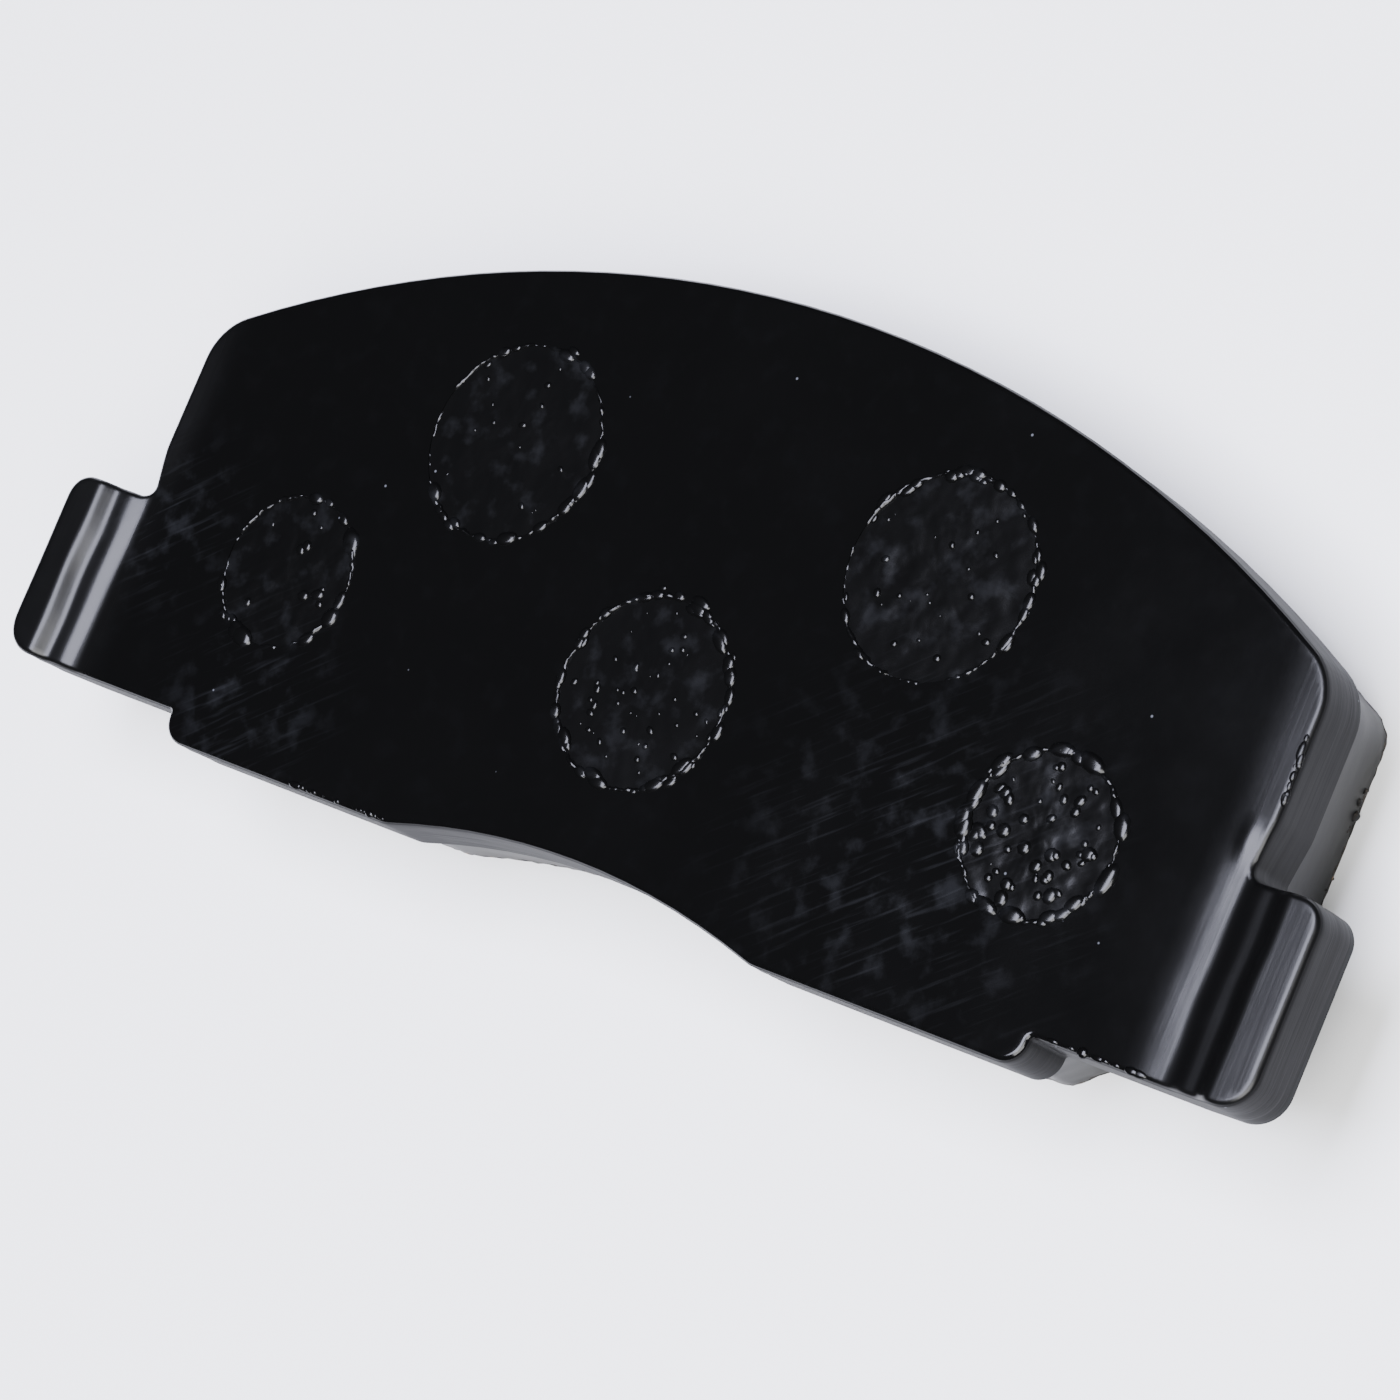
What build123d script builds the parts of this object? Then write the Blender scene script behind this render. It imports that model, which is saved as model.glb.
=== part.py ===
"""Disc brake pad: a blanked steel backing plate with formed ears, and the friction
compound that is moulded on to it and keyed through its holes.

The pad lies on its friction face. +X runs along the length of the pad, +Y points to
its crown, away from the wheel hub, and +Z points out of the back of the plate, towards
the caliper piston. The origin is the middle of the pad's box, on the friction face.
All sizes are in millimetres.
"""

import os

from build123d import *

# Layers, from the friction face up
block_height = 6.0
underlayer_thickness = 1.8
film_thickness = 0.2
plate_thickness = 5.0
film_bottom = block_height + underlayer_thickness
plate_bottom = film_bottom + film_thickness
plate_back = plate_bottom + plate_thickness

# Outline of the backing plate
pad_height = 42.0
crown_y = pad_height / 2
foot_y = -pad_height / 2
body_half_length = 47.1
ear_half_length = 53.0
crown_radius = 90.9
arch_radius = 57.3
arch_top_y = -18.8
arch_end_radius = 3.0
shoulder_radius = 4.3
foot_half_length = 36.9
foot_radius = 1.75
foot_inner_radius = 0.25
ear_top_y = -5.4
ear_foot_y = -18.9
ear_top_radius = 1.8
ear_foot_radius = 2.4
notch_relief_y = -1.5
notch_relief_depth = 0.55
notch_radius = 0.9
back_edge_radius = 0.6

# Side section of the formed ears: (distance from the middle, rise above the flat body)
ear_rise = 1.25
ear_back_steps = [(45.0, 0.0), (46.8, -0.2), (47.8, 0.35), (48.9, 0.45), (50.2, ear_rise)]
ear_back_radii = [6.0, 0.9, 1.2, 1.0, 1.5]
ear_friction_steps = [(50.8, ear_rise), (47.5, 0.0)]
ear_friction_radii = [1.5, 1.5]

# Keying holes, with their centres
centre_hole_radius = 6.65
centre_hole = (0.0, -6.9)
inner_hole_radius = 7.0
inner_holes = [(-18.0, 6.3), (18.0, 6.3)]
outer_hole_radius = 5.5
outer_holes = [(-32.05, -7.1), (32.05, -7.1)]
plug_recess = 0.1

# Outline of the friction block, set back from the edge of the plate
block_half_length = 45.1
block_crown_y = 19.85
block_arch_radius = 70.0
block_arch_top_y = -18.0
block_foot_y = -20.2
block_foot_half_length = 33.5
block_flank_y = -10.7
block_shoulder_radius = 2.6
block_foot_radius = 1.0
block_flank_radius = 3.0

# Working values: how near a corner is to count as found, the least upward slope of a
# back face, and how far the side section runs past the ears
same_point = 0.01
back_facing = 0.3
section_overrun = 2.0


def arc_y(radius, centre_y, x):
    """Height of an arc centred on the Y axis, at x."""
    return centre_y + (radius**2 - x**2) ** 0.5


def arc_x(radius, centre_y, y):
    """Half-width of an arc centred on the Y axis, at y."""
    return (radius**2 - (y - centre_y) ** 2) ** 0.5


def corners(sketch, x, y):
    """The pair of mirrored corners of a sketch at +x and -x."""
    return [
        corner
        for corner in sketch.vertices()
        if abs(abs(corner.X) - x) < same_point and abs(corner.Y - y) < same_point
    ]


# The crown and the arch are arcs centred on the Y axis: (radius, height of the centre)
crown = (crown_radius, crown_y - crown_radius)
arch = (arch_radius, arch_top_y - arch_radius)
arch_end = arc_x(*arch, foot_y)
shoulder_y = arc_y(*crown, body_half_length)
notch_x = body_half_length - notch_relief_depth

with BuildSketch() as plate_plan:
    with BuildLine():
        ThreePointArc(
            (0, arch_top_y), (arch_end / 2, arc_y(*arch, arch_end / 2)), (arch_end, foot_y)
        )
        Polyline(
            (arch_end, foot_y),
            (foot_half_length, foot_y),
            (foot_half_length, ear_foot_y),
            (ear_half_length, ear_foot_y),
            (ear_half_length, ear_top_y),
            (notch_x, ear_top_y),
            (body_half_length, notch_relief_y),
            (body_half_length, shoulder_y),
        )
        ThreePointArc(
            (body_half_length, shoulder_y),
            (body_half_length / 2, arc_y(*crown, body_half_length / 2)),
            (0, crown_y),
        )
        mirror(about=Plane.YZ)
    make_face()
    fillet(corners(plate_plan, arch_end, foot_y), arch_end_radius)
    fillet(corners(plate_plan, foot_half_length, foot_y), foot_radius)
    fillet(corners(plate_plan, foot_half_length, ear_foot_y), foot_inner_radius)
    fillet(corners(plate_plan, ear_half_length, ear_foot_y), ear_foot_radius)
    fillet(corners(plate_plan, ear_half_length, ear_top_y), ear_top_radius)
    fillet(corners(plate_plan, notch_x, ear_top_y), notch_radius)
    fillet(corners(plate_plan, body_half_length, notch_relief_y), shoulder_radius)
    fillet(corners(plate_plan, body_half_length, shoulder_y), shoulder_radius)

with BuildSketch() as keying_holes:
    with Locations(centre_hole):
        Circle(centre_hole_radius)
    with Locations(inner_holes):
        Circle(inner_hole_radius)
    with Locations(outer_holes):
        Circle(outer_hole_radius)

# The block follows the plate inside its edge, with its lower corners cut away
block_crown = (block_crown_y - crown[1], crown[1])
block_arch = (block_arch_radius, block_arch_top_y - block_arch_radius)
block_arch_end = arc_x(*block_arch, block_foot_y)
block_shoulder_y = arc_y(*block_crown, block_half_length)

with BuildSketch() as block_plan:
    with BuildLine():
        ThreePointArc(
            (0, block_arch_top_y),
            (block_arch_end / 2, arc_y(*block_arch, block_arch_end / 2)),
            (block_arch_end, block_foot_y),
        )
        Polyline(
            (block_arch_end, block_foot_y),
            (block_foot_half_length, block_foot_y),
            (block_half_length, block_flank_y),
            (block_half_length, block_shoulder_y),
        )
        ThreePointArc(
            (block_half_length, block_shoulder_y),
            (block_half_length / 2, arc_y(*block_crown, block_half_length / 2)),
            (0, block_crown_y),
        )
        mirror(about=Plane.YZ)
    make_face()
    fillet(corners(block_plan, block_arch_end, block_foot_y), arch_end_radius)
    fillet(corners(block_plan, block_foot_half_length, block_foot_y), block_foot_radius)
    fillet(corners(block_plan, block_half_length, block_flank_y), block_flank_radius)
    fillet(corners(block_plan, block_half_length, block_shoulder_y), block_shoulder_radius)

# Side section of the plate: a flat body, and ears that step up at the back
past_ear = ear_half_length + section_overrun

with BuildSketch(Plane.XZ) as plate_section:
    with BuildLine():
        FilletPolyline(
            (0, plate_back),
            *[(x, plate_back + rise) for x, rise in ear_back_steps],
            (past_ear, plate_back + ear_rise),
            radius=ear_back_radii,
        )
        Line((past_ear, plate_back + ear_rise), (past_ear, plate_bottom + ear_rise))
        FilletPolyline(
            (past_ear, plate_bottom + ear_rise),
            *[(x, plate_bottom + rise) for x, rise in ear_friction_steps],
            (0, plate_bottom),
            radius=ear_friction_radii,
        )
        mirror(about=Plane.YZ)
    make_face()

# Backing plate: blanked and pressed steel, its back edge rolled over by the blanking
with BuildPart() as backing_plate:
    add(plate_plan.sketch)
    extrude(amount=plate_back + 2 * ear_rise)
    extrude(plate_section.sketch, amount=pad_height, both=True, mode=Mode.INTERSECT)
    back_faces = backing_plate.faces().filter_by(lambda face: face.normal_at().Z > back_facing)
    back_rim = [
        edge
        for edge in back_faces.edges()
        if sum(edge in face.edges() for face in back_faces) == 1
    ]
    fillet(back_rim, back_edge_radius)
    extrude(keying_holes.sketch, amount=plate_back + 2 * ear_rise, mode=Mode.SUBTRACT)
backing_plate.part.label = "backing_plate"

# Bonding film: the thin adhesive between the steel and the compound, open at the holes
with BuildPart() as bonding_film:
    with BuildSketch(Plane.XY.offset(film_bottom)):
        add(block_plan.sketch)
        add(keying_holes.sketch, mode=Mode.SUBTRACT)
    extrude(amount=film_thickness)
bonding_film.part.label = "bonding_film"

# Underlayer: the stiffer first charge of compound, with a plug up through each hole
with BuildPart() as underlayer:
    with BuildSketch(Plane.XY.offset(block_height)):
        add(block_plan.sketch)
    extrude(amount=underlayer_thickness)
    with BuildSketch(Plane.XY.offset(film_bottom)):
        add(keying_holes.sketch)
    extrude(amount=plate_back - plug_recess - film_bottom)
underlayer.part.label = "underlayer"

# Friction block: the compound that rubs on the disc
with BuildPart() as friction_block:
    add(block_plan.sketch)
    extrude(amount=block_height)
friction_block.part.label = "friction_block"

os.makedirs("parts", exist_ok=True)
for piece in (backing_plate, bonding_film, underlayer, friction_block):
    export_step(piece.part, f"parts/{piece.part.label}.step")
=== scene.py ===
"""Looks of a disc brake pad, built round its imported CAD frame.

The pad lies on its friction face, with +X along its length, +Y to its crown and +Z out of
the back of its steel plate. Every size below is in millimetres, times MM.
"""

import math
import random

import bmesh
import bpy
from mathutils import Matrix, Vector, noise


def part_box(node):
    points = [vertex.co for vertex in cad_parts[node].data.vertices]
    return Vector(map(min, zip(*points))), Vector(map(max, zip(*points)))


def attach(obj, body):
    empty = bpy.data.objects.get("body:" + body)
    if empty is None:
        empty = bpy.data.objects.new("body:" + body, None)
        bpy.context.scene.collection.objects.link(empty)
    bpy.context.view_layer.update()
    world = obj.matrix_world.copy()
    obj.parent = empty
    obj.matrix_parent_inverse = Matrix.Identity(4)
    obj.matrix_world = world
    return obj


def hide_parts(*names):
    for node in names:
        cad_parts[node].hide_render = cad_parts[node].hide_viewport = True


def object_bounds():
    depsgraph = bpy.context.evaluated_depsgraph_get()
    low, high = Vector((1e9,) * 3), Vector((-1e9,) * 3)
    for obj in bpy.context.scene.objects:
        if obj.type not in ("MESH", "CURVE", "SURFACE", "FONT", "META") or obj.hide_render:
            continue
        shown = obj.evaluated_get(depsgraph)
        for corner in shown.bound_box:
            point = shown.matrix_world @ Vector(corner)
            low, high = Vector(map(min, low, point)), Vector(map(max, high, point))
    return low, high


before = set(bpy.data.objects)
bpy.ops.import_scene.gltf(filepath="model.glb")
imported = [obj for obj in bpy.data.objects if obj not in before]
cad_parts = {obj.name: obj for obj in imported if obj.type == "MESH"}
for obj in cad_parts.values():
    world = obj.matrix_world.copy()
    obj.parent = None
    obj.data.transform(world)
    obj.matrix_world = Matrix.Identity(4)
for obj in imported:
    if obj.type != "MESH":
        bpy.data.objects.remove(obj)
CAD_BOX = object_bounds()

bl_info = {
    "name": "Disc Brake Pad",
    "version": (1, 0, 0),
    "blender": (4, 5, 0),
    "location": "3D View > Sidebar > Brake Pad",
    "description": "Builds a disc brake pad round its CAD frame",
    "category": "Object",
}

MM = 0.001
BODY = "root"

# Levels, from the frame: the bottom and the back of the plate, and the side of the block
PLATE_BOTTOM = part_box("bonding_film")[1].z
EAR_RISE = 1.25 * MM
PLATE_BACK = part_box("backing_plate")[1].z - EAR_RISE
BLOCK_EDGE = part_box("friction_block")[1].x

# Section of the formed ears: (distance from the middle, rise), straight between the bends.
# The dip before the first step deepens gradually, and the tip is worn a little lower.
EAR_BACK_STEPS = (
    (43.4, 0.0),
    (44.6, -0.02),
    (45.4, -0.065),
    (46.0, -0.125),
    (46.6, -0.2),
    (47.9, 0.35),
    (49.1, 0.45),
    (50.2, 1.25),
    (52.5, 1.25),
    (53.0, 1.13),
)
EAR_FRICTION_STEPS = ((47.5, 0.0), (50.8, 1.25))
BEND_REACH = 0.3
EAR_START, EAR_END = 43.0, 52.9
# The dies form only the ears: the body keeps its flat back above the notch
FORMED_TO, FLAT_FROM = -4.6, -2.0
# The dip is shallower at the foot of the ear than at the notch
FOOT_DIP = 0.62
EAR_FOOT, EAR_TOP = -18.9, -5.4
# The bends of the ears wander in and out by this much, over about this length
WANDER, WANDER_LENGTH = 0.16, 3.5
# A small rise at the right-hand notch, taken as a burr: its place, height and reach
BURR, BURR_HEIGHT, BURR_REACH = (45.6, -3.2), 0.16, (0.4, 0.6)

# The plugs end this far under the back, beneath the painted faces that cover them
PLUG_DROP = 0.45 * MM

# Lights: the place of each, and the sizes of its panel
SOFTBOX_PLACE, SOFTBOX_SIZES = (-0.01, 0.0, 0.56), (0.27, 0.46)
FILL_PLACE, FILL_SIZE = (0.6, -0.5, 1.1), 0.9

# Point on the back of the plate that the camera aims at
AIM = (4.51, -6.11)

# Rubbed patches of paint: place and reach. One wide patch lies to the right of the foot
# and two at the left end.
SCUFFS = (((24.0, -11.0), 19.0), ((-43.5, -6.5), 9.0), ((-31.0, -16.5), 11.0))

# Runs of dried paint drops along the back edge: two ends and how many drops
DROP_RUNS = (
    ((46.8, 4.4, 0), (46.8, -0.6, 0), 17),
    ((38.0, -18.65, 0), (46.0, -18.65, 0), 13),
    ((-26.0, -20.7, 0), (-16.0, -20.7, 0), 16),
)

# Beads of flash: radius of section, how far the middle lies under the back, and how much
# further it sinks where the flash is missing
BEAD_RADIUS, BEAD_DEPTH, GAP_DEPTH = 0.17, 0.11, 0.14

# Crumbs lie along the straight part of the block's right side
CRUMBS = 14
CRUMB_SPAN = (-6.5, 4.0)

# Keying holes: place and radius, then how the compound in each one set: how uneven its
# face is, how many blisters it has and of what radius, how many lumps of flash ring it
# and of what radius, and how high its bead of flash stands
PLUGS = {
    "centre": ((0.0, -6.9), 6.65, 0.03, 44, 0.17, 62, 0.40, 0.42),
    "inner_left": ((-18.0, 6.3), 7.0, 0.04, 14, 0.17, 34, 0.46, 0.42),
    "inner_right": ((18.0, 6.3), 7.0, 0.06, 22, 0.19, 48, 0.36, 0.36),
    "outer_left": ((-32.05, -7.1), 5.5, 0.08, 10, 0.30, 20, 0.60, 0.42),
    "outer_right": ((32.05, -7.1), 5.5, 0.08, 50, 0.34, 40, 0.52, 0.42),
}


# Arcs with no flash, as (start, end) in degrees from +X towards +Y
GAPS = {
    "inner_left": ((162, 222),),
    "outer_left": ((165, 200), (258, 300)),
    "inner_right": ((165, 205), (262, 300)),
}


def linear(hex_colour):
    """Linear RGBA of an sRGB hex colour."""
    channels = [int(hex_colour[i : i + 2], 16) / 255 for i in (1, 3, 5)]
    return tuple(
        c / 12.92 if c <= 0.04045 else ((c + 0.055) / 1.055) ** 2.4 for c in channels
    ) + (1.0,)


class PadPaintSettings(bpy.types.PropertyGroup):
    """Black paint on the steel plate and on the moulded compound."""

    colour: bpy.props.FloatVectorProperty(
        name="Paint",
        description="Colour of the black paint",
        subtype="COLOR",
        size=4,
        min=0,
        max=1,
        default=linear("#060606"),
    )
    scuff: bpy.props.FloatVectorProperty(
        name="Scuff",
        description="Colour of the paint where it is rubbed or dusty",
        subtype="COLOR",
        size=4,
        min=0,
        max=1,
        default=linear("#202124"),
    )
    roughness: bpy.props.FloatProperty(
        name="Roughness",
        description="Roughness of clean paint",
        subtype="FACTOR",
        min=0,
        max=1,
        default=0.11,
    )
    compound_roughness: bpy.props.FloatProperty(
        name="Roughness on compound",
        description="Roughness of the paint over the compound in the holes",
        subtype="FACTOR",
        min=0,
        max=1,
        default=0.18,
    )
    specular: bpy.props.FloatProperty(
        name="Specular",
        description="Strength of the paint's mirror reflection",
        subtype="FACTOR",
        min=0,
        max=1,
        default=0.25,
    )
    edge_roll: bpy.props.FloatProperty(
        name="Edge roll",
        description="Radius of the plate's rolled back edge",
        unit="LENGTH",
        min=0,
        default=0.45 * MM,
    )
    cell: bpy.props.FloatProperty(
        name="Plate cell",
        description="Spacing of the cuts that give the plate vertices to shape",
        unit="LENGTH",
        min=0.2 * MM,
        default=0.7 * MM,
    )


class PadCompoundSettings(bpy.types.PropertyGroup):
    """Friction compound, ground on its rubbing face and painted over at its sides."""

    matrix: bpy.props.FloatVectorProperty(
        name="Compound",
        description="Colour of the resin and filler",
        subtype="COLOR",
        size=4,
        min=0,
        max=1,
        default=linear("#3b3530"),
    )
    flecks: bpy.props.FloatVectorProperty(
        name="Flecks",
        description="Colour of the metal fibre in the compound",
        subtype="COLOR",
        size=4,
        min=0,
        max=1,
        default=linear("#94775a"),
    )
    cell: bpy.props.FloatProperty(
        name="Block cell",
        description="Spacing of the cuts that give the block vertices to shape",
        unit="LENGTH",
        min=0.2 * MM,
        default=0.5 * MM,
    )


class PadDetailSettings(bpy.types.PropertyGroup):
    """Flash, blisters and beads of paint."""

    seed: bpy.props.IntProperty(
        name="Seed", description="Seed of every random place and size", default=11
    )
    cap_recess: bpy.props.FloatProperty(
        name="Plug recess",
        description="How far the plugs lie under the back of the plate",
        unit="LENGTH",
        default=0.06 * MM,
    )


class PadStudioSettings(bpy.types.PropertyGroup):
    """Floor, softbox and camera."""

    floor: bpy.props.FloatVectorProperty(
        name="Floor",
        description="Colour of the pale floor",
        subtype="COLOR",
        size=4,
        min=0,
        max=1,
        default=linear("#f4f4f4"),
    )
    power: bpy.props.FloatProperty(
        name="Softbox power",
        description="Power of the overhead softbox, in watts",
        subtype="POWER",
        default=11.5,
    )
    fill_power: bpy.props.FloatProperty(
        name="Fill power",
        description="Power of the fill light, in watts",
        subtype="POWER",
        default=40.0,
    )
    azimuth: bpy.props.FloatProperty(
        name="Camera azimuth",
        description="Direction to the camera, from +X towards +Y",
        subtype="ANGLE",
        default=math.radians(-8.62),
    )
    elevation: bpy.props.FloatProperty(
        name="Camera elevation",
        description="Height of the camera above the back of the plate",
        subtype="ANGLE",
        default=math.radians(54.23),
    )
    roll: bpy.props.FloatProperty(
        name="Camera roll",
        description="Turn of the camera about its own axis",
        subtype="ANGLE",
        default=math.radians(60.2),
    )
    distance: bpy.props.FloatProperty(
        name="Camera distance",
        description="Distance from the camera to the point it aims at",
        unit="LENGTH",
        default=311.06 * MM,
    )
    lens: bpy.props.FloatProperty(
        name="Lens",
        description="Focal length on a 36 mm sensor, in millimetres",
        default=123.43,
    )


def add_node(tree, kind, settings=None, inputs=None):
    """Adds a node with its settings, and gives its inputs values or links."""
    node = tree.nodes.new(kind)
    for name, value in (settings or {}).items():
        setattr(node, name, value)
    for socket, value in (inputs or {}).items():
        if isinstance(value, bpy.types.NodeSocket):
            tree.links.new(value, node.inputs[socket])
        else:
            node.inputs[socket].default_value = value
    return node


def ramp(tree, value, low, high, start=0.0, end=1.0):
    """Takes a value from start to end as it goes from low to high."""
    return add_node(
        tree,
        "ShaderNodeMapRange",
        {"interpolation_type": "SMOOTHSTEP"},
        {0: value, 1: low, 2: high, 3: start, 4: end},
    ).outputs[0]


def combine(tree, operation, first, second):
    """The result of a maths operation on two values."""
    return add_node(
        tree, "ShaderNodeMath", {"operation": operation}, {0: first, 1: second}
    ).outputs[0]


def grain(tree, vector, size, detail=3.0, stretch=(1, 1, 1), turn=0.0):
    """Noise with features of that size, drawn out along a direction in the XY plane."""
    place = add_node(
        tree,
        "ShaderNodeMapping",
        {"vector_type": "TEXTURE"},
        {"Vector": vector, "Rotation": (0, 0, turn), "Scale": stretch},
    )
    return add_node(
        tree,
        "ShaderNodeTexNoise",
        None,
        {"Vector": place.outputs[0], "Scale": 1 / size, "Detail": detail},
    ).outputs["Fac"]


def near(tree, vector, place, radius):
    """1 at a point on the back of the plate, falling to 0 at a radius from it."""
    gap = add_node(
        tree,
        "ShaderNodeVectorMath",
        {"operation": "DISTANCE"},
        {0: vector, 1: (place[0] * MM, place[1] * MM, PLATE_BACK)},
    )
    return ramp(tree, gap.outputs["Value"], 0.0, radius * MM, 1.0, 0.0)


def new_material(name):
    """An empty node material, with its shader and its two kinds of coordinate."""
    material = bpy.data.materials.new(name)
    material.use_nodes = True
    tree = material.node_tree
    tree.nodes.clear()
    shader = add_node(tree, "ShaderNodeBsdfPrincipled")
    output = add_node(tree, "ShaderNodeOutputMaterial")
    tree.links.new(shader.outputs[0], output.inputs[0])
    place = add_node(tree, "ShaderNodeTexCoord").outputs["Object"]
    facing = add_node(tree, "ShaderNodeNewGeometry").outputs["Normal"]
    return material, tree, shader, place, facing


def bump(tree, height, distance, under=None):
    """A bump of that height, over another one."""
    inputs = {"Height": height, "Distance": distance, "Strength": 1.0}
    if under is not None:
        inputs["Normal"] = under
    return add_node(tree, "ShaderNodeBump", None, inputs).outputs[0]


def sprayed_enamel(name, base_roughness, base_wear):
    """Black baking enamel sprayed on steel: glossy, with a faint orange peel, rubbed dull
    by fine parallel scratches, and streaked along the formed ears. Over the compound that
    fills the holes it is duller and more uneven."""
    paint = bpy.context.scene.pad_paint
    material, tree, shader, place, facing = new_material(name)
    axes = add_node(tree, "ShaderNodeSeparateXYZ", None, {0: place})
    slope = add_node(tree, "ShaderNodeSeparateXYZ", None, {0: facing})
    upright = combine(tree, "ABSOLUTE", slope.outputs[2], 0.0)
    cut_edge = ramp(tree, upright, 0.35, 0.7, 1.0, 0.0)
    along = combine(tree, "ABSOLUTE", axes.outputs[0], 0.0)
    on_ear = ramp(tree, along, 43.0 * MM, 46.5 * MM)

    wide, left, low = [near(tree, place, *scuff) for scuff in SCUFFS]
    patches = combine(tree, "MAXIMUM", wide, combine(tree, "MAXIMUM", left, low))
    cloud = ramp(tree, grain(tree, place, 1.9 * MM, 9.0), 0.5, 0.74, 0.0, 0.7)
    rub = grain(tree, place, 0.35 * MM, 4.0, (14, 1, 1), math.radians(38))
    cross = grain(tree, place, 0.3 * MM, 4.0, (10, 1, 1), math.radians(12))
    rubbed = combine(tree, "MULTIPLY", ramp(tree, rub, 0.52, 0.78), patches)
    touched = combine(tree, "MAXIMUM", patches, base_wear)
    dusty = combine(tree, "MULTIPLY", cloud, touched)
    worn = combine(tree, "ADD", combine(tree, "MULTIPLY", rubbed, 0.6), dusty)

    # Dust: specks about 0.15 mm across, a few of them to the square centimetre
    cells = add_node(
        tree, "ShaderNodeTexVoronoi", None, {"Vector": place, "Scale": 1 / (2.6 * MM)}
    )
    chance = add_node(
        tree, "ShaderNodeSeparateColor", None, {0: cells.outputs["Color"]}
    )
    speck = combine(
        tree,
        "MULTIPLY",
        ramp(tree, cells.outputs["Distance"], 0.02, 0.045, 1.0, 0.0),
        ramp(tree, chance.outputs[0], 0.6, 0.62),
    )
    tone = add_node(
        tree,
        "ShaderNodeMix",
        {"data_type": "RGBA"},
        {0: combine(tree, "MULTIPLY", worn, 0.5), 6: paint.colour, 7: paint.scuff},
    )
    dusted = add_node(
        tree,
        "ShaderNodeMix",
        {"data_type": "RGBA"},
        {0: speck, 6: tone.outputs[2], 7: linear("#4c4e54")},
    )
    tree.links.new(dusted.outputs[2], shader.inputs["Base Color"])

    haze = ramp(tree, grain(tree, place, 9.0 * MM, 4.0), 0.35, 0.7, 0.0, 0.035)
    dull = combine(tree, "MULTIPLY", worn, 0.1)
    rough = combine(tree, "ADD", combine(tree, "ADD", haze, dull), base_roughness)
    drawn_rough = combine(tree, "MULTIPLY", on_ear, 0.18)
    edge_rough = combine(tree, "MULTIPLY", cut_edge, 0.5)
    form_rough = combine(tree, "MAXIMUM", drawn_rough, edge_rough)
    tree.links.new(
        combine(tree, "ADD", rough, form_rough), shader.inputs["Roughness"]
    )

    # Orange peel 0.9 mm across, hairline scratches, and die streaks along the ears
    peel = bump(tree, grain(tree, place, 0.9 * MM, 2.0), 0.006 * MM)
    hairs = combine(tree, "ADD", ramp(tree, rub, 0.55, 0.8), ramp(tree, cross, 0.6, 0.8))
    hairs = combine(tree, "MULTIPLY", hairs, patches)
    scratched = bump(tree, hairs, 0.004 * MM, peel)
    streak = grain(tree, place, 0.35 * MM, 4.0, (1, 30, 1))
    drawn = bump(tree, combine(tree, "MULTIPLY", streak, on_ear), 0.008 * MM, scratched)
    shear = grain(tree, place, 0.5 * MM, 4.0, (14, 14, 0.7))
    sheared = bump(tree, combine(tree, "MULTIPLY", shear, cut_edge), 0.03 * MM, drawn)
    tree.links.new(sheared, shader.inputs["Normal"])
    shader.inputs["IOR"].default_value = 1.5
    # Set so that the sheared edges mirror less than the flat back
    mirror = ramp(tree, cut_edge, 0.0, 1.0, paint.specular, 0.45 * paint.specular)
    tree.links.new(mirror, shader.inputs["Specular IOR Level"])
    return material


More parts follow.
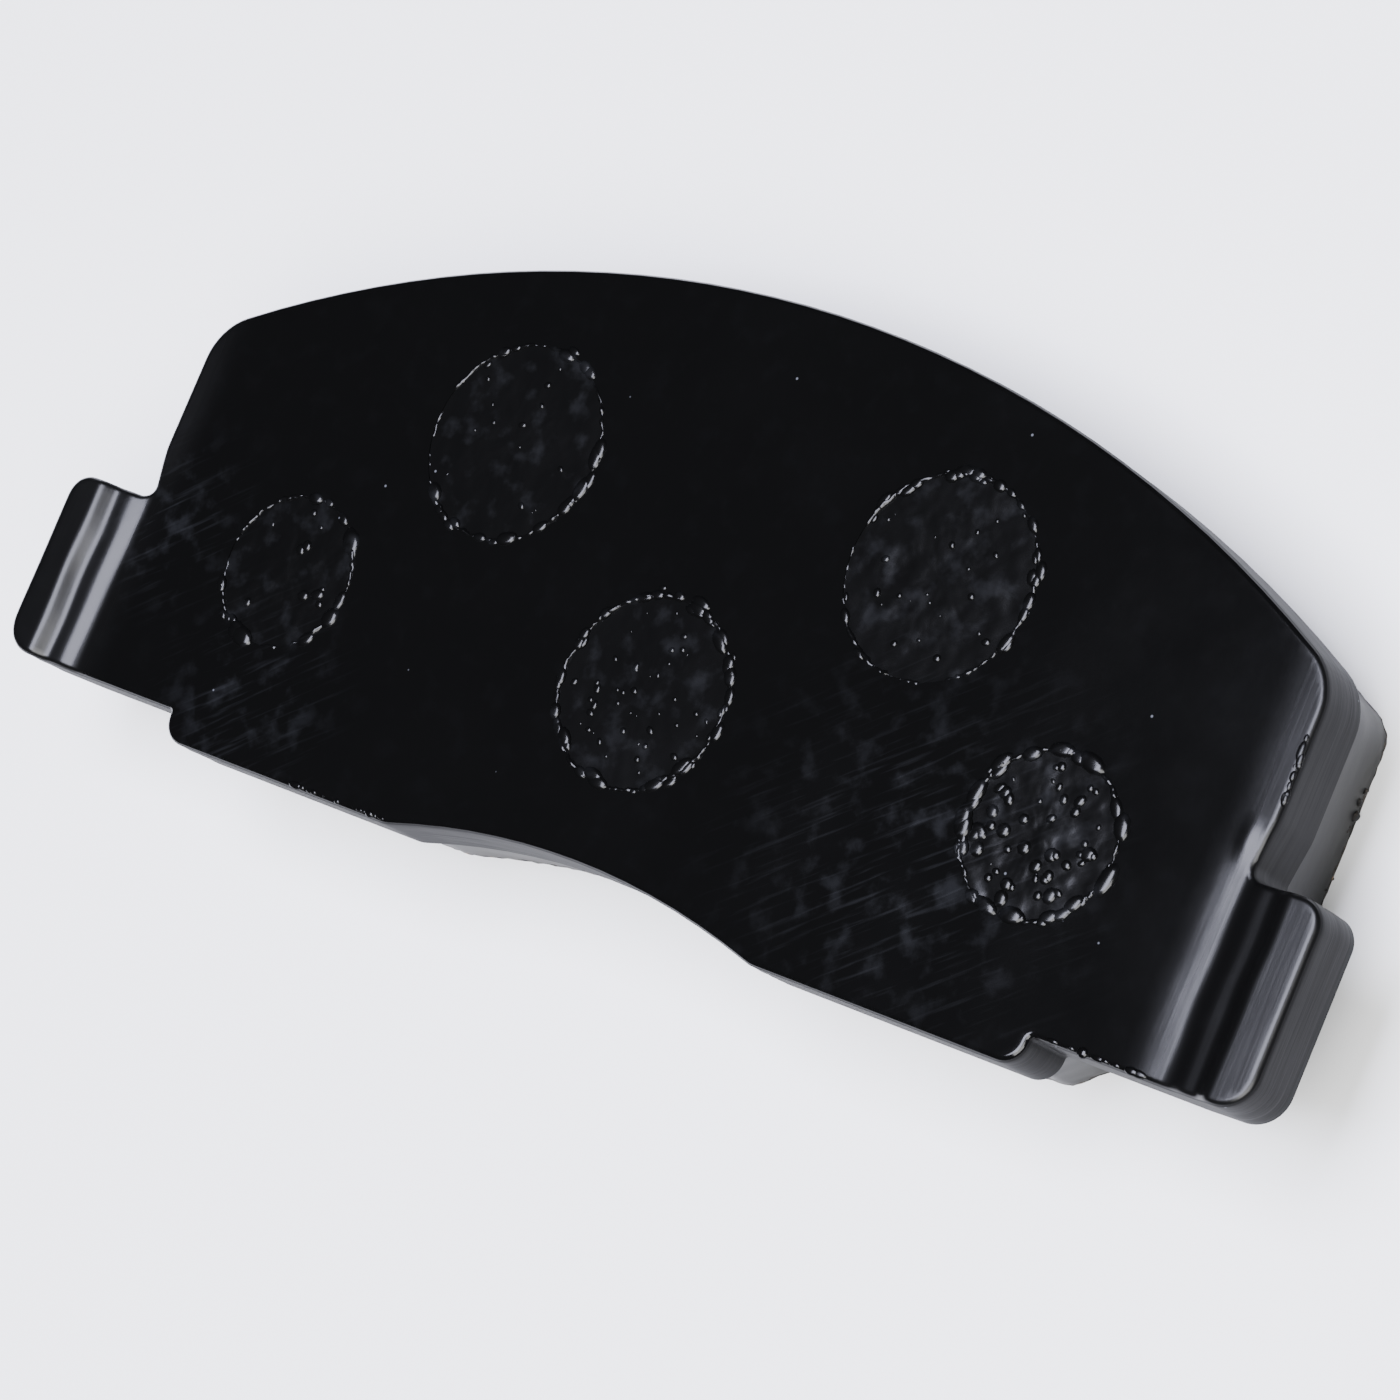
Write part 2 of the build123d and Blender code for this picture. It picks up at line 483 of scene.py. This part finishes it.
def ground_compound():
    """Resin-bonded friction compound: a dull, granular brown-grey with metal fibre on the
    ground face, and black overspray on the moulded sides that lets the crumbs show."""
    paint = bpy.context.scene.pad_paint
    compound = bpy.context.scene.pad_compound
    material, tree, shader, place, facing = new_material("moulded_friction_compound")
    axes = add_node(tree, "ShaderNodeSeparateXYZ", None, {0: place})
    slope = add_node(tree, "ShaderNodeSeparateXYZ", None, {0: facing})
    upright = combine(tree, "ABSOLUTE", slope.outputs[2], 0.0)
    side = ramp(tree, upright, 0.5, 0.8, 1.0, 0.0)
    ragged = combine(
        tree,
        "ADD",
        axes.outputs[2],
        combine(tree, "MULTIPLY", grain(tree, place, 0.8 * MM), 0.9 * MM),
    )
    covered = combine(tree, "MULTIPLY", side, ramp(tree, ragged, 0.55 * MM, 0.75 * MM))

    # Grains about 0.5 mm across, and fibre and flecks of 0.3 mm
    grit = grain(tree, place, 0.5 * MM, 5.0)
    cells = add_node(
        tree, "ShaderNodeTexVoronoi", None, {"Vector": place, "Scale": 1 / (1.1 * MM)}
    )
    chance = add_node(
        tree, "ShaderNodeSeparateColor", None, {0: cells.outputs["Color"]}
    )
    fleck = combine(
        tree,
        "MULTIPLY",
        ramp(tree, cells.outputs["Distance"], 0.12, 0.2, 1.0, 0.0),
        ramp(tree, chance.outputs[0], 0.55, 0.6),
    )
    dark = add_node(
        tree,
        "ShaderNodeMix",
        {"data_type": "RGBA"},
        {0: ramp(tree, grit, 0.4, 0.62), 6: compound.matrix, 7: linear("#191715")},
    )
    flecked = add_node(
        tree,
        "ShaderNodeMix",
        {"data_type": "RGBA"},
        {0: fleck, 6: dark.outputs[2], 7: compound.flecks},
    )
    tone = add_node(
        tree,
        "ShaderNodeMix",
        {"data_type": "RGBA"},
        {0: covered, 6: flecked.outputs[2], 7: paint.colour},
    )
    tree.links.new(tone.outputs[2], shader.inputs["Base Color"])
    tree.links.new(ramp(tree, covered, 0, 1, 0.86, 0.48), shader.inputs["Roughness"])
    shader.inputs["Specular IOR Level"].default_value = 1.6 * paint.specular

    bare = ramp(tree, covered, 0, 1, 1.0, 0.12)
    pitted = bump(tree, combine(tree, "MULTIPLY", grit, bare), 0.05 * MM)
    grinding = grain(tree, place, 0.25 * MM, 3.0, (1, 40, 1), math.radians(-12))
    ground = bump(tree, combine(tree, "MULTIPLY", grinding, bare), 0.02 * MM, pitted)
    tree.links.new(ground, shader.inputs["Normal"])
    return material


def cured_adhesive():
    """Cured phenolic bonding film: a thin, amber-brown, slightly glossy resin line."""
    material, tree, shader, place, _ = new_material("cured_phenolic_film")
    mottled = add_node(
        tree,
        "ShaderNodeMix",
        {"data_type": "RGBA"},
        {0: grain(tree, place, 1.5 * MM), 6: linear("#15110d"), 7: linear("#2b2018")},
    )
    tree.links.new(mottled.outputs[2], shader.inputs["Base Color"])
    waves = bump(tree, grain(tree, place, 0.6 * MM), 0.02 * MM)
    tree.links.new(waves, shader.inputs["Normal"])
    shader.inputs["Roughness"].default_value = 0.45
    return material


def material_named(name, maker):
    """The material of that name, made the first time it is asked for."""
    return bpy.data.materials.get(name) or maker()


def enamel(over_compound=False):
    """The paint: on steel, or duller over the compound that fills the holes."""
    paint = bpy.context.scene.pad_paint
    if over_compound:
        name, roughness, wear = "enamel_over_compound", paint.compound_roughness, 0.7
    else:
        name, roughness, wear = "sprayed_black_enamel", paint.roughness, 0.05
    return material_named(name, lambda: sprayed_enamel(name, roughness, wear))


def select_only(piece):
    """Makes a piece the only selected one, and the active one."""
    bpy.ops.object.select_all(action="DESELECT")
    piece.select_set(True)
    bpy.context.view_layer.objects.active = piece


def open_mesh(piece):
    """Opens a piece in edit mode, with nothing selected in it."""
    select_only(piece)
    bpy.ops.object.mode_set(mode="EDIT")
    bpy.ops.mesh.select_mode(type="VERT")
    bpy.ops.mesh.select_all(action="DESELECT")


def close_mesh():
    """Goes back to object mode."""
    bpy.ops.object.mode_set(mode="OBJECT")


def copy_of_node(node, name):
    """A new piece with a CAD node's mesh, its loose triangles welded."""
    piece = bpy.data.objects.new(name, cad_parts[node].data.copy())
    bpy.context.scene.collection.objects.link(piece)
    piece.data.materials.clear()
    open_mesh(piece)
    bpy.ops.mesh.select_all(action="SELECT")
    bpy.ops.mesh.remove_doubles(threshold=0.005 * MM)
    close_mesh()
    bpy.ops.mesh.customdata_custom_splitnormals_clear()
    return piece


def dissolve_flats(piece):
    """Joins the triangles of each flat face into as few faces as it needs."""
    open_mesh(piece)
    bpy.ops.mesh.select_all(action="SELECT")
    bpy.ops.mesh.dissolve_limited(angle_limit=math.radians(0.3))
    close_mesh()


def steps(low, high, spacing):
    """Evenly spaced places between two ends, without the ends."""
    count = max(1, round((high - low) / spacing))
    return [low + (high - low) * i / count for i in range(1, count)]


def slice_across(piece, axis, places):
    """Cuts the whole mesh with planes across an axis, which adds vertices to shape."""
    normal = Vector((0, 0, 0))
    normal[axis] = 1.0
    open_mesh(piece)
    for place in places:
        bpy.ops.mesh.select_all(action="SELECT")
        bpy.ops.mesh.bisect(plane_co=normal * place, plane_no=normal)
    close_mesh()


def weight_group(piece, name, weight):
    """A vertex group, with each vertex's weight worked out from the vertex."""
    group = piece.vertex_groups.new(name=name)
    for vertex in piece.data.vertices:
        group.add([vertex.index], weight(vertex), "REPLACE")
    return group.name


def roughen(piece, size, depth, stretch=(1, 1, 1), group=""):
    """Moves the surface in and out by a noise with features of that size."""
    guide = bpy.data.objects.new("noise_guide", None)
    bpy.context.scene.collection.objects.link(guide)
    guide.scale = [size * s for s in stretch]
    bpy.context.view_layer.update()
    texture = bpy.data.textures.new("surface_noise", "CLOUDS")
    texture.noise_scale = 1.0
    texture.noise_depth = 2
    select_only(piece)
    displace = piece.modifiers.new("roughen", "DISPLACE")
    displace.texture = texture
    displace.texture_coords = "OBJECT"
    displace.texture_coords_object = guide
    displace.strength = depth
    displace.mid_level = 0.5
    displace.vertex_group = group
    bpy.ops.object.modifier_apply(modifier=displace.name)
    bpy.data.objects.remove(guide)


def finish_piece(piece, material, replaced=(), angle=34):
    """Smooths a piece, gives it its material, and joins it to the frame."""
    select_only(piece)
    bpy.ops.object.shade_smooth_by_angle(angle=math.radians(angle))
    piece.data.materials.clear()
    piece.data.materials.append(material)
    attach(piece, BODY)
    if replaced:
        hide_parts(*replaced)


def straight_rise(section, x):
    """Height of the ear section at x, straight from bend to bend."""
    if x <= section[0][0]:
        return section[0][1]
    for (x0, z0), (x1, z1) in zip(section, section[1:]):
        if x <= x1:
            return z0 + (z1 - z0) * (x - x0) / (x1 - x0)
    return section[-1][1]


def rounded_rise(section, x):
    """The same with rounded bends: the mean of the heights on either side of x."""
    spread = [BEND_REACH * i / 6 for i in range(-6, 7)]
    return sum(straight_rise(section, x + s) for s in spread) / len(spread)


def in_hole(point, margin):
    """Whether a point is within a keying hole, or within a margin of its edge."""
    return any(
        math.hypot(point.x / MM - centre[0], point.y / MM - centre[1]) < radius + margin
        for centre, radius, *rest in PLUGS.values()
    )


class PAD_OT_backing_plate(bpy.types.Operator):
    """Presses and paints the steel backing plate"""

    bl_idname = "brake_pad.backing_plate"
    bl_label = "Backing plate"

    def execute(self, context):
        paint = context.scene.pad_paint
        piece = copy_of_node("backing_plate", "painted_backing_plate")
        thickness = PLATE_BACK - PLATE_BOTTOM

        # The outline is the friction side of the frame's plate, laid flat
        open_mesh(piece)
        mesh = bmesh.from_edit_mesh(piece.data)
        mesh.select_mode = {"FACE"}
        for face in mesh.faces:
            face.select = face.normal.z > -0.5
        bmesh.update_edit_mesh(piece.data)
        bpy.ops.mesh.delete(type="FACE")
        mesh = bmesh.from_edit_mesh(piece.data)
        for vertex in mesh.verts:
            vertex.co.z = PLATE_BOTTOM
        bmesh.update_edit_mesh(piece.data)
        close_mesh()
        dissolve_flats(piece)

        # Blanked from sheet, with its back edge rolled over
        open_mesh(piece)
        bpy.ops.mesh.select_all(action="SELECT")
        bpy.ops.mesh.extrude_region_move(
            TRANSFORM_OT_translate={"value": (0, 0, thickness)}
        )
        bpy.ops.mesh.select_all(action="SELECT")
        bpy.ops.mesh.normals_make_consistent(inside=False)
        bpy.ops.mesh.select_all(action="DESELECT")
        bpy.ops.mesh.select_mode(type="EDGE")
        mesh = bmesh.from_edit_mesh(piece.data)
        for edge in mesh.edges:
            tilts = sorted(abs(face.normal.z) for face in edge.link_faces)
            middle = (edge.verts[0].co + edge.verts[1].co) / 2
            rim = len(tilts) == 2 and tilts[0] < 0.1 and tilts[1] > 0.9
            at_back = middle.z > PLATE_BACK - 0.01 * MM
            if rim and at_back and not in_hole(middle, 0.5):
                edge.select = True
        bmesh.update_edit_mesh(piece.data)
        bpy.ops.mesh.bevel(
            offset=paint.edge_roll, segments=5, affect="EDGES", clamp_overlap=False
        )
        close_mesh()

        # Cuts, close together where the ears are formed
        ear = steps(EAR_START * MM, EAR_END * MM, 0.14 * MM)
        slice_across(piece, 0, steps(-EAR_START * MM, EAR_START * MM, paint.cell))
        slice_across(piece, 0, ear + [-place for place in ear])
        slice_across(piece, 1, steps(CAD_BOX[0].y, CAD_BOX[1].y, paint.cell))
        slice_across(piece, 2, steps(PLATE_BOTTOM, PLATE_BACK, 0.35 * MM))

        for vertex in piece.data.vertices:
            x = abs(vertex.co.x) / MM
            share = (vertex.co.z - PLATE_BOTTOM) / thickness
            formed = (FLAT_FROM - vertex.co.y / MM) / (FLAT_FROM - FORMED_TO)
            formed = min(1.0, max(0.0, formed))
            formed *= formed * (3 - 2 * formed)
            flat = Vector((vertex.co.x, vertex.co.y, 0))
            wander = WANDER * noise.noise(flat / (WANDER_LENGTH * MM))
            back = rounded_rise(EAR_BACK_STEPS, x + wander) * formed
            if back < 0:
                down = (EAR_TOP - vertex.co.y / MM) / (EAR_TOP - EAR_FOOT)
                back *= 1 - (1 - FOOT_DIP) * min(1.0, max(0.0, down))
            off = (
                (vertex.co.x / MM - BURR[0]) / BURR_REACH[0],
                (vertex.co.y / MM - BURR[1]) / BURR_REACH[1],
            )
            back += BURR_HEIGHT * math.exp(-(off[0] ** 2 + off[1] ** 2) / 2)
            lift = share * back
            lift += (1 - share) * rounded_rise(EAR_FRICTION_STEPS, x)
            vertex.co.z += lift * MM
        piece.data.update()

        # Drag marks of the blanking punch run round the cut edge
        wall = weight_group(
            piece, "cut_edge", lambda v: max(0.0, 1 - 1.6 * abs(v.normal.z))
        )
        roughen(piece, 0.9 * MM, 0.08 * MM, (9, 9, 0.8), wall)
        back = weight_group(piece, "back", lambda v: max(0.0, v.normal.z))
        roughen(piece, 9.0 * MM, 0.05 * MM, (1, 1, 1), back)
        piece.vertex_groups.clear()
        finish_piece(piece, enamel(), ["backing_plate"])
        return {"FINISHED"}


class PAD_OT_compound(bpy.types.Operator):
    """Moulds the friction block and its underlayer, with rough lower edges"""

    bl_idname = "brake_pad.compound"
    bl_label = "Friction block and underlayer"

    def execute(self, context):
        cell = context.scene.pad_compound.cell
        stone = material_named("moulded_friction_compound", ground_compound)
        for node, name, slot in (
            ("friction_block", "moulded_friction_block", "friction_compound"),
            ("underlayer", "moulded_underlayer", "underlayer_compound"),
        ):
            piece = copy_of_node(node, name)
            dissolve_flats(piece)
            low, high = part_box(node)
            slice_across(piece, 0, steps(low.x, high.x, cell))
            slice_across(piece, 1, steps(low.y, high.y, cell))
            top = min(high.z, PLATE_BOTTOM)
            slice_across(piece, 2, steps(low.z, top, 0.3 * MM))
            flank = weight_group(
                piece,
                "flank",
                lambda v: max(0.0, 1 - 1.5 * abs(v.normal.z))
                if v.co.z < PLATE_BOTTOM and not in_hole(v.co, 0.2)
                else 0.0,
            )
            roughen(piece, 1.6 * MM, 0.07 * MM, (3, 3, 0.8), flank)
            if node == "friction_block":
                broken = weight_group(
                    piece,
                    "broken",
                    lambda v: max(0.0, 1 - v.co.z / (1.0 * MM))
                    * max(0.0, 1 - 0.7 * abs(v.normal.z)),
                )
                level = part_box(node)[0].z
                roughen(piece, 0.55 * MM, 0.5 * MM, (1, 1, 1), broken)
                for vertex in piece.data.vertices:
                    vertex.co.z = max(vertex.co.z, level)
            # The plugs end under their painted faces, which are pieces of their own
            for vertex in piece.data.vertices:
                if vertex.co.z > PLATE_BOTTOM:
                    vertex.co.z = min(vertex.co.z, PLATE_BACK - PLUG_DROP)
            piece.vertex_groups.clear()
            finish_piece(piece, stone, [node])
        return {"FINISHED"}


class PAD_OT_bonding_film(bpy.types.Operator):
    """Finishes the bonding film between the steel and the compound"""

    bl_idname = "brake_pad.bonding_film"
    bl_label = "Bonding film"

    def execute(self, context):
        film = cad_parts["bonding_film"]
        film.data.materials.clear()
        film.data.materials.append(material_named("cured_phenolic_film", cured_adhesive))
        return {"FINISHED"}


def plug_face(name, centre, radius, unevenness, recess):
    """The painted face of one plug: rings of vertices drawn in to the middle, closed
    underneath, uneven where the compound shrank as it set."""
    middle = Vector((centre[0] * MM, centre[1] * MM, PLATE_BACK - recess))
    reach = (radius - 0.03) * MM
    rings = 30
    bpy.ops.object.select_all(action="DESELECT")
    bpy.ops.mesh.primitive_circle_add(
        vertices=168, radius=reach, fill_type="NOTHING", location=middle
    )
    piece = bpy.context.object
    piece.name = name
    bpy.ops.object.transform_apply(location=True, rotation=True, scale=True)
    open_mesh(piece)
    bpy.ops.mesh.select_all(action="SELECT")
    for ring in range(rings - 1, 0, -1):
        share = ring / (ring + 1)
        bpy.ops.mesh.extrude_region_move()
        bpy.ops.transform.resize(value=(share, share, 1), center_override=middle)
    bpy.ops.mesh.merge(type="CENTER")
    bpy.ops.mesh.select_all(action="DESELECT")
    bpy.ops.mesh.select_mode(type="EDGE")
    bpy.ops.mesh.select_non_manifold()
    bpy.ops.mesh.extrude_region_move(
        TRANSFORM_OT_translate={"value": (0, 0, -0.5 * MM)}
    )
    bpy.ops.mesh.edge_face_add()
    bpy.ops.mesh.select_all(action="SELECT")
    bpy.ops.mesh.normals_make_consistent(inside=False)
    close_mesh()
    top = weight_group(
        piece, "top", lambda v: 1.0 if v.co.z > middle.z - 0.1 * MM else 0.0
    )
    roughen(piece, 1.4 * MM, 1.5 * unevenness * MM, (1, 1, 1), top)
    roughen(piece, 4.0 * MM, 1.8 * unevenness * MM, (1, 1, 1), top)
    piece.vertex_groups.clear()
    return piece


class PAD_OT_plug_faces(bpy.types.Operator):
    """Sets the painted faces of the compound plugs in the keying holes"""

    bl_idname = "brake_pad.plug_faces"
    bl_label = "Plug faces"

    def execute(self, context):
        recess = context.scene.pad_detail.cap_recess
        for name, (centre, radius, unevenness, *rest) in PLUGS.items():
            piece = plug_face(
                "plug_face_" + name, centre, radius, unevenness, recess
            )
            finish_piece(piece, enamel(over_compound=True))
        return {"FINISHED"}


def in_gap(name, turn):
    """Whether the flash of a plug is missing at that angle."""
    angle = math.degrees(turn) % 360
    return any(start < angle < end for start, end in GAPS.get(name, ()))


def lump_template():
    """One small dome-like lump of unit radius, to be copied."""
    bpy.ops.object.select_all(action="DESELECT")
    bpy.ops.mesh.primitive_ico_sphere_add(subdivisions=2, radius=1.0)
    return bpy.context.object


def scatter_lumps(name, lumps):
    """One piece made of copies of a lump. Each is a place, a turn about Z, and its half
    length, half width and half height."""
    template = lump_template()
    mesh = bmesh.new()
    for place, turn, sizes in lumps:
        copy = template.data.copy()
        copy.transform(
            Matrix.Translation(place)
            @ Matrix.Rotation(turn, 4, "Z")
            @ Matrix.Diagonal((*sizes, 1.0))
        )
        mesh.from_mesh(copy)
        bpy.data.meshes.remove(copy)
    data = bpy.data.meshes.new(name)
    mesh.to_mesh(data)
    mesh.free()
    bpy.data.objects.remove(template)
    piece = bpy.data.objects.new(name, data)
    bpy.context.scene.collection.objects.link(piece)
    return piece


class PAD_OT_flash(bpy.types.Operator):
    """Rings each plug with its bead of flash, and raises its lumps and blisters"""

    bl_idname = "brake_pad.flash"
    bl_label = "Flash and blisters"

    def execute(self, context):
        detail = context.scene.pad_detail
        for index, (name, plug) in enumerate(PLUGS.items()):
            centre, radius, _, blisters, blister, count, lump, height = plug
            chance = random.Random(detail.seed + index)
            middle = Vector((centre[0] * MM, centre[1] * MM, PLATE_BACK))

            # A bead that swells, thins and dips under the paint as it goes round
            bpy.ops.object.select_all(action="DESELECT")
            bpy.ops.mesh.primitive_torus_add(
                location=middle - Vector((0, 0, BEAD_DEPTH * MM)),
                major_radius=radius * MM,
                minor_radius=BEAD_RADIUS * MM,
                major_segments=256,
                minor_segments=12,
            )
            bead = bpy.context.object
            bead.name = "flash_bead_" + name
            bpy.ops.object.transform_apply(location=True, rotation=True, scale=True)
            for vertex in bead.data.vertices:
                away = vertex.co - middle
                if in_gap(name, math.atan2(away.y, away.x)):
                    vertex.co.z -= GAP_DEPTH * MM
            roughen(bead, 0.45 * MM, height * MM, (1, 1, 1))
            roughen(bead, 2.2 * MM, 0.26 * MM, (1, 1, 1))
            coat = enamel(over_compound=True)
            finish_piece(bead, coat, angle=60)

            lumps = []
            for _ in range(count):
                turn = chance.uniform(0, math.tau)
                if in_gap(name, turn):
                    continue
                out = (radius + chance.gauss(0, 0.16)) * MM
                place = middle + Vector((math.cos(turn), math.sin(turn), 0)) * out
                size = lump * min(1.5, chance.lognormvariate(0, 0.4)) * MM
                long = size * chance.uniform(1.0, 1.6)
                sizes = (size * 0.8, long, min(0.28 * size, 0.22 * MM))
                lumps.append((place, turn, sizes))
            for _ in range(blisters):
                turn = chance.uniform(0, math.tau)
                out = (radius - 0.9) * MM * math.sqrt(chance.random())
                place = middle + Vector((math.cos(turn), math.sin(turn), 0)) * out
                place.z -= detail.cap_recess
                size = blister * min(1.5, chance.lognormvariate(0, 0.5)) * MM
                sizes = (size, size * chance.uniform(0.8, 1.5), min(0.4 * size, 0.16 * MM))
                lumps.append((place, chance.uniform(0, math.pi), sizes))
            piece = scatter_lumps("flash_lumps_" + name, lumps)
            finish_piece(piece, coat, angle=60)
        return {"FINISHED"}


class PAD_OT_paint_beads(bpy.types.Operator):
    """Adds the drops of paint that dried along the plate's back edge"""

    bl_idname = "brake_pad.paint_beads"
    bl_label = "Paint beads"

    def execute(self, context):
        chance = random.Random(context.scene.pad_detail.seed + 50)
        lumps = []
        for start, end, count in DROP_RUNS:
            start, end = Vector(start), Vector(end)
            direction = math.atan2(end.y - start.y, end.x - start.x)
            for _ in range(count):
                place = start.lerp(end, chance.random()) * MM
                place.x += chance.gauss(0, 0.08) * MM
                place.z = PLATE_BACK - chance.uniform(0.03, 0.1) * MM
                size = 0.2 * chance.lognormvariate(0, 0.35) * MM
                sizes = (size * chance.uniform(1.0, 2.4), size * 0.9, size * 0.5)
                lumps.append((place, direction, sizes))
        piece = scatter_lumps("dried_paint_beads", lumps)
        finish_piece(piece, enamel(), angle=60)
        return {"FINISHED"}


class PAD_OT_crumbs(bpy.types.Operator):
    """Leaves crumbs of compound along the ground edge of the block's right side"""

    bl_idname = "brake_pad.crumbs"
    bl_label = "Crumbs"

    def execute(self, context):
        chance = random.Random(context.scene.pad_detail.seed + 90)
        lumps = []
        for _ in range(CRUMBS):
            size = 0.13 * chance.lognormvariate(0, 0.35) * MM
            y = chance.uniform(*CRUMB_SPAN) * MM
            place = Vector((BLOCK_EDGE + chance.uniform(-0.06, 0.04) * MM, y, 0))
            place.z = size + chance.uniform(0.0, 0.4) * MM
            sizes = (size, size * chance.uniform(0.8, 1.4), size * 0.9)
            lumps.append((place, chance.uniform(0, math.pi), sizes))
        piece = scatter_lumps("compound_crumbs", lumps)
        roughen(piece, 0.2 * MM, 0.08 * MM)
        stone = material_named("moulded_friction_compound", ground_compound)
        finish_piece(piece, stone, angle=60)
        return {"FINISHED"}


class PAD_OT_stage(bpy.types.Operator):
    """Lays the floor, hangs the softbox and sets up the camera"""

    bl_idname = "brake_pad.stage"
    bl_label = "Stage"

    def execute(self, context):
        studio = context.scene.pad_studio
        bpy.ops.object.select_all(action="DESELECT")
        bpy.ops.mesh.primitive_plane_add(size=6.0)
        floor = context.object
        floor.name = "floor"
        matte = bpy.data.materials.new("matte_white_sweep")
        matte.use_nodes = True
        shader = matte.node_tree.nodes["Principled BSDF"]
        shader.inputs["Base Color"].default_value = studio.floor
        shader.inputs["Roughness"].default_value = 0.95
        shader.inputs["Specular IOR Level"].default_value = 0.1
        floor.data.materials.append(matte)

        bpy.ops.object.light_add(type="AREA", location=SOFTBOX_PLACE)
        softbox = context.object
        softbox.name = "softbox"
        softbox.data.shape = "RECTANGLE"
        softbox.data.size, softbox.data.size_y = SOFTBOX_SIZES
        softbox.data.energy = studio.power
        softbox.data.color = linear("#e9ebff")[:3]

        # A wide fill whitens the floor from where the back doesn't mirror it to the camera
        bpy.ops.object.light_add(type="AREA", location=FILL_PLACE)
        fill = context.object
        fill.name = "fill"
        fill.data.shape = "SQUARE"
        fill.data.size = FILL_SIZE
        fill.data.energy = studio.fill_power
        fill.rotation_euler = fill.location.to_track_quat("Z", "Y").to_euler()

        # Surroundings: dim to what they light, pale to the eye
        world = bpy.data.worlds.new("studio")
        context.scene.world = world
        world.use_nodes = True
        tree = world.node_tree
        tree.nodes.clear()
        dim = add_node(
            tree, "ShaderNodeBackground", None, {0: linear("#17181b"), 1: 1.0}
        )
        pale = add_node(
            tree, "ShaderNodeBackground", None, {0: linear("#f4f4f4"), 1: 1.0}
        )
        ray = add_node(tree, "ShaderNodeLightPath")
        mix = add_node(
            tree,
            "ShaderNodeMixShader",
            None,
            {0: ray.outputs["Is Camera Ray"], 1: dim.outputs[0], 2: pale.outputs[0]},
        )
        output = add_node(tree, "ShaderNodeOutputWorld")
        tree.links.new(mix.outputs[0], output.inputs[0])

        level = math.cos(studio.elevation)
        back = Vector(
            (
                level * math.cos(studio.azimuth),
                level * math.sin(studio.azimuth),
                math.sin(studio.elevation),
            )
        )
        aim = Vector((AIM[0] * MM, AIM[1] * MM, PLATE_BACK))
        right = Vector((0, 0, 1)).cross(back).normalized()
        above = back.cross(right)
        turn = studio.roll
        up = above * math.cos(turn) + right * math.sin(turn)
        side = up.cross(back)
        camera = bpy.data.objects.new("camera", bpy.data.cameras.new("camera"))
        context.scene.collection.objects.link(camera)
        camera.matrix_world = Matrix.Translation(aim + back * studio.distance) @ (
            Matrix((side, up, back)).transposed().to_4x4()
        )
        camera.data.lens = studio.lens
        camera.data.sensor_width = 36.0
        camera.data.clip_start = 0.01
        camera.data.clip_end = 20.0
        context.scene.camera = camera
        return {"FINISHED"}


OPERATORS = (
    PAD_OT_stage,
    PAD_OT_backing_plate,
    PAD_OT_compound,
    PAD_OT_bonding_film,
    PAD_OT_plug_faces,
    PAD_OT_flash,
    PAD_OT_paint_beads,
    PAD_OT_crumbs,
)

SETTINGS = {
    "pad_paint": PadPaintSettings,
    "pad_compound": PadCompoundSettings,
    "pad_detail": PadDetailSettings,
    "pad_studio": PadStudioSettings,
}


class PAD_PT_panel(bpy.types.Panel):
    """Lists the steps that build the pad"""

    bl_idname = "PAD_PT_panel"
    bl_label = "Disc brake pad"
    bl_space_type = "VIEW_3D"
    bl_region_type = "UI"
    bl_category = "Brake Pad"

    def draw(self, context):
        for name in SETTINGS:
            box = self.layout.box()
            for value in getattr(context.scene, name).__annotations__:
                box.prop(getattr(context.scene, name), value)
        for operator in OPERATORS:
            self.layout.operator(operator.bl_idname)


def register():
    for name, group in SETTINGS.items():
        bpy.utils.register_class(group)
        setattr(bpy.types.Scene, name, bpy.props.PointerProperty(type=group))
    for operator in OPERATORS:
        bpy.utils.register_class(operator)
    bpy.utils.register_class(PAD_PT_panel)


def unregister():
    bpy.utils.unregister_class(PAD_PT_panel)
    for operator in reversed(OPERATORS):
        bpy.utils.unregister_class(operator)
    for name, group in SETTINGS.items():
        delattr(bpy.types.Scene, name)
        bpy.utils.unregister_class(group)


def main():
    """Builds the pad and its stage."""
    register()
    for operator in OPERATORS:
        group, name = operator.bl_idname.split(".")
        getattr(getattr(bpy.ops, group), name)()


if __name__ == "__main__":
    main()
